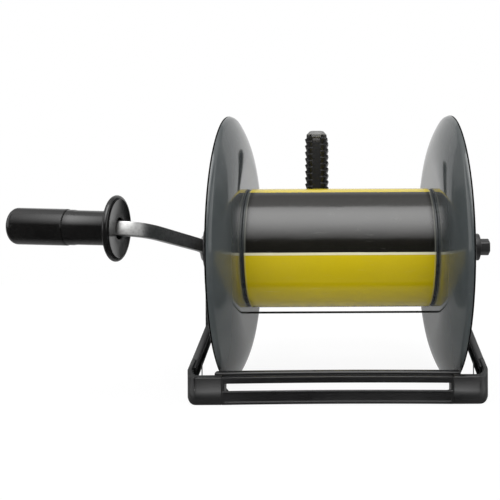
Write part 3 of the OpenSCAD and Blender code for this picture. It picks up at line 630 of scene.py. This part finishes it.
for side, way, hub_end in zip(("left", "right"), (-1, 1), hub_ends):
    profile = [(core_half, hub_bore), (core_half, spigot_in), (spigot_tip, spigot_in)]
    profile += [(spigot_tip, tube_in), (core_half, tube_in)]
    profile += sweep(dish_mid, dish_r, 180, 180 - dish_turn, 28)
    profile += sweep(bend_mid, lip_bend, 180 - dish_turn, 90, 14)[1:]
    profile += sweep((rim_out - wall / 2, flange_r - wall / 2), wall / 2, 90, -90, 12)
    profile += sweep(bend_mid, lip_bend - wall, 90, 180 - dish_turn, 8)
    profile += sweep(dish_mid, dish_r - wall, 180 - dish_turn, 180, 24)[1:]
    profile += [(web_out, hub_foot_r), (web_out + 0.0004, hub_r)]
    profile += [(hub_end, hub_r), (hub_end, hub_bore), (core_half, hub_bore)]
    flange = spun([(way * x, r) for x, r in profile], axle, 256)
    for i in range(rib_count):
        filled([(way * x, axle_y - rib_t / 2, axle_z + r) for x, r in rib])
        extrude((0, rib_t, 0))
        bpy.ops.mesh.select_all(action="SELECT")
        turn = math.tau * (i + 0.5) / rib_count
        bpy.ops.transform.rotate(value=turn, orient_axis="X", center_override=axle)
        combine(flange, closed(), "UNION")
    if side == "left":
        bpy.ops.object.select_all(action="DESELECT")
        bpy.ops.mesh.primitive_cylinder_add(vertices=40, radius=anchor_r, depth=0.04)
        bpy.ops.object.mode_set(mode="EDIT")
        bpy.ops.transform.rotate(value=math.pi / 2, orient_axis="Y", center_override=(0, 0, 0))
        bpy.ops.transform.translate(value=(-core_half, axle_y + anchor_place, axle_z))
        bpy.ops.object.mode_set(mode="OBJECT")
        combine(flange, bpy.context.active_object, "DIFFERENCE")
    pick(flange)
    bpy.ops.object.shade_smooth_by_angle(angle=math.radians(30))
    fit(flange, side + "_flange_disc", "drum", "flange_plastic", slate_plastic, side + "_flange")


# Tie bar: a thin rod of blackened steel wire across the drum, close under the core.
# Its ends are pressed into the flanges, and the first turn of wire is tied to it.
low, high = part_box("tie_bar")
bar_r, bar_half, bar_z = (high[2] - low[2]) / 2, high[0], (low[2] + high[2]) / 2
tie_bar = spun(ring(bar_half, 0, bar_r, 0.0003, 0.0003), (0, axle_y, bar_z), 24)
black_wire = finish("blackened_wire", {"Metallic": 1.0},
    plated((0.03, 0.03, 0.028), (0.06, 0.06, 0.055), 0.38, 0.52))
fit(tie_bar, "tie_bar_wire", "drum", "tie_bar_steel", black_wire, "tie_bar")


# Crank bar: a flat bar of bright zinc-plated steel, bent twice, with a square eye on the crank shaft.
# It is sheared and pressed, so its long edges are softly rounded.
crank_bar = copy_of("crank_bar")
ease(crank_bar, 0.0007, 3)
crank_zinc = finish("crank_zinc_plate", {"Metallic": 1.0},
    plated((0.4, 0.4, 0.4), (0.58, 0.58, 0.57), 0.28, 0.42))
fit(crank_bar, "crank_arm", "crank", "crank_steel", crank_zinc, "crank_bar")


# Crank grip: two spun halves of glossy black plastic that turn on the crank's spindle, a little tilted.
# The inner half carries the guard disc and a low collar, and the outer half is pressed on its spigot.
def lean(piece, spot, axis, turn):
    """Turns a piece about an axis through a spot."""
    pick(piece)
    about = Matrix.Translation(spot) @ Matrix.Rotation(turn, 4, axis) @ Matrix.Translation(-spot)
    piece.matrix_world = about @ piece.matrix_world
    bpy.ops.object.transform_apply(location=True, rotation=True, scale=True)


rest, tilt, crank_r = math.radians(11.3), math.radians(1.7), 0.095
arm = Vector((0, -math.cos(rest), math.sin(rest)))
grip_mid = (0, axle_y + crank_r * arm.y, axle_z + crank_r * arm.z)
guard_in, guard_t, guard_r, guard_edge, grip_r, root_r = 0.1785, 0.0046, 0.027, 0.0025, 0.014, 0.002
joint, grip_end, spigot_r, spigot_end = 0.2201, 0.2651, 0.01125, 0.2528
bore_r, pocket_r, pocket_end, collar_t, bead = 0.00455, 0.009, 0.1859, 0.0004, 0.0032
guard_out = guard_in + guard_t
guard_mid = Vector((-guard_in - guard_t / 2, grip_mid[1], grip_mid[2]))
profile = [(guard_in + 0.0004, pocket_r), (guard_in, pocket_r + 0.0006)]
profile += [(guard_in, guard_r - bead - 0.001), (guard_in - 0.0004, guard_r - bead)]
profile += sweep((guard_in + guard_t / 2, guard_r - guard_edge), guard_edge, 180, 0, 16)
profile += [(guard_out + 0.0004, guard_r - bead), (guard_out, guard_r - bead - 0.0013)]
profile += sweep((guard_out + root_r, grip_r + root_r), root_r, 180, 270, 6)
profile += [(joint - 0.0075, grip_r), (joint - 0.005, grip_r + collar_t), (joint - 0.0006, grip_r + collar_t)]
profile += [(joint, grip_r - 0.0002), (joint, spigot_r), (spigot_end, spigot_r), (spigot_end, bore_r)]
profile += [(pocket_end, bore_r), (pocket_end, pocket_r), (guard_in + 0.0004, pocket_r)]
inner_half = spun([(-x, r) for x, r in profile], grip_mid, 128)
lean(inner_half, guard_mid, arm, -tilt)
gloss_black = finish("gloss_black_plastic", {"IOR": 1.5, "Specular IOR Level": 0.5},
    moulded((0.003, 0.0028, 0.0028), (0.006, 0.0058, 0.0057), 0.12, 0.2, 0.000004))
fit(inner_half, "crank_grip_inner_half", "crank_grip", "crank_grip_plastic", gloss_black, "crank_grip")
outer_r, end_r, cap_wall = grip_r + 0.0009, 0.005, 0.006
profile = [(joint, spigot_r), (joint, outer_r - 0.0006), (joint + 0.0006, outer_r)]
profile += sweep((grip_end - end_r, outer_r - end_r), end_r, 90, 0, 14)
profile += [(grip_end, 0), (grip_end - cap_wall, 0), (grip_end - cap_wall, spigot_r), (joint, spigot_r)]
outer_half = spun([(-x, r) for x, r in profile], grip_mid, 128)
lean(outer_half, guard_mid, arm, -tilt)
fit(outer_half, "crank_grip_outer_half", "crank_grip", "crank_grip_plastic", gloss_black, "crank_grip_cap")


# Studio: a pale floor and a white backdrop that stands behind the reel, and a world that lights it.
# The world is a large soft box in front and overhead, a dim ceiling behind it and soft fills at the sides.
def backdrop(name, direct, mirrored):
    """Paper that is white for the camera, dimmer in reflections, and takes light and shadow."""
    material = bpy.data.materials.new(name)
    material.use_nodes = True
    tree = material.node_tree
    tree.nodes.clear()
    camera_ray = Shade(tree, tree.nodes.new("ShaderNodeLightPath").outputs["Is Camera Ray"])
    glossy_ray, clear_ray = camera_ray.other("Is Glossy Ray"), camera_ray.other("Is Transmission Ray")
    mirror_ray = camera_ray.math("MAXIMUM", glossy_ray, clear_ray)
    place = Shade(tree, tree.nodes.new("ShaderNodeTexCoord").outputs["Object"])
    depth = place.node("SeparateXYZ", {}, {0: place}).other("Y")
    glow = depth.between(-0.06, 0.04, mirrored[0], mirrored[1])
    soft = camera_ray.node("BsdfDiffuse", {}, {"Color": (0.8, 0.8, 0.8, 1)})
    level = camera_ray.math("MAXIMUM", camera_ray, glow)
    white = camera_ray.node("Emission", {}, {"Color": (1, 1, 1, 1), "Strength": level})
    share = camera_ray.math("MAXIMUM", camera_ray * direct, mirror_ray)
    mixed = camera_ray.node("MixShader", {}, {0: share, 1: soft, 2: white})
    output = tree.nodes.new("ShaderNodeOutputMaterial")
    tree.links.new(mixed.socket, output.inputs["Surface"])
    return material


bpy.ops.object.select_all(action="DESELECT")
bpy.ops.mesh.primitive_plane_add(size=8, location=(0, 0, -0.0002))
floor = bpy.context.active_object
floor.name = "floor"
floor.data.materials.append(backdrop("floor_paper", 0.92, (0.05, 0.4)))
bpy.ops.mesh.primitive_plane_add(size=2, location=(0, axle_y + 1.1, 0.8), rotation=(math.pi / 2, 0, 0))
paper = bpy.context.active_object
paper.name = "backdrop"
paper.data.materials.append(backdrop("backdrop_paper", 1.0, (0.8, 0.8)))

world = bpy.data.worlds.new("studio")
bpy.context.scene.world = world
world.use_nodes = True
tree = world.node_tree
sky = tree.nodes["Background"]
direction = Shade(tree, tree.nodes.new("ShaderNodeTexCoord").outputs["Generated"])
across = direction.node("SeparateXYZ", {}, {0: direction})
back, up = across.other("Y"), across.other("Z")
sideways = across.math("ABSOLUTE", across)
climb = up.math("ARCTAN2", up, back * -1) * (180 / math.pi)
in_front = (climb > 18.3) * (climb < 85)
in_reach = sideways.between(0.12, 0.66, 1, 0)
soft_box = climb.between(5, 60, 0, 6) * climb.between(66, 86, 1, 0.75) * in_front * in_reach
ceiling = climb.between(85, 130, 1.1, 0.4) * (climb > 85) * up.between(0.1, 0.4)
fill_height = up.between(-0.2, 0.0) * up.between(0.5, 0.8, 1, 0.4)
fill = sideways.between(0.6, 0.8, 0, 1.2) * (back < 0.1) * fill_height
camera_ray = Shade(tree, tree.nodes.new("ShaderNodeLightPath").outputs["Is Camera Ray"])
strength = camera_ray.math("MAXIMUM", camera_ray, soft_box + ceiling + fill + 0.04)
tree.links.new(strength.socket, sky.inputs["Strength"])
sky.inputs["Color"].default_value = (1, 1, 1, 1)


# Camera: level, in front of the middle of the drum and a little above the axle, with the film plane
# shifted so that the crank and its grip come into the frame.
camera = bpy.data.objects.new("camera", bpy.data.cameras.new("camera"))
bpy.context.scene.collection.objects.link(camera)
camera.location = (0, axle_y - 0.575, axle_z + 0.0137)
camera.rotation_euler = (math.pi / 2, math.radians(0.27), 0)
camera.data.sensor_width = 36
camera.data.lens = 594 / 500 * camera.data.sensor_width
camera.data.shift_x = -0.18
camera.data.shift_y = -0.033
camera.data.clip_start = 0.01
bpy.context.scene.camera = camera
bpy.context.scene.view_settings.view_transform = "Standard"
